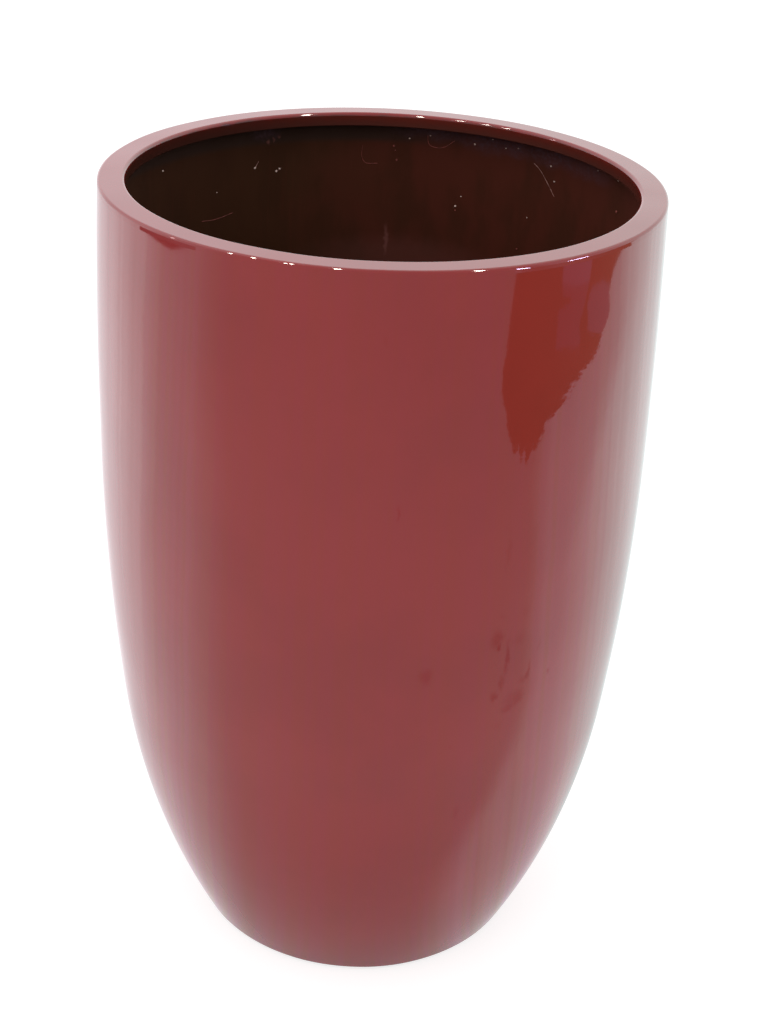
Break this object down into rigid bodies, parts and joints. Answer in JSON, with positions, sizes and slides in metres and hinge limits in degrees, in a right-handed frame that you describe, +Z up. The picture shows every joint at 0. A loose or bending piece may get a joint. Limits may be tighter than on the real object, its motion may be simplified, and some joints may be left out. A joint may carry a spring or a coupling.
{
  "type": "floor planter",
  "caption": "Tall round floor planter that swells slightly below its in-turned rim and tapers to a narrow foot, with a rubber plug in its drain hole.",
  "frame": {"origin": "centre of the foot on the plane the pads stand on, on the axis of the pot", "axes": "+Z up along the axis of the pot; the first pad stands halfway between +X and +Y"},
  "size_m": [0.4614, 0.4614, 0.69],
  "materials": {
    "red_lacquer": "gloss",
    "sealing_coat": "matte",
    "bonding_paste": "matte",
    "black_rubber": "matte"
  },
  "bodies": {
    "pot": {"pot_shell": "red_lacquer", "inner_coat": "sealing_coat", "rim_ring": "red_lacquer", "rim_bond": "bonding_paste", "foot_pad_1": "black_rubber", "foot_pad_2": "black_rubber", "foot_pad_3": "black_rubber", "foot_pad_4": "black_rubber"},
    "plug": {"drain_plug": "black_rubber"}
  },
  "joints": [
    {"name": "plug_lift", "type": "slide", "parent": "pot", "child": "plug", "axis": [0, 0, 1], "range_m": [0, 0.72]}
  ]
}
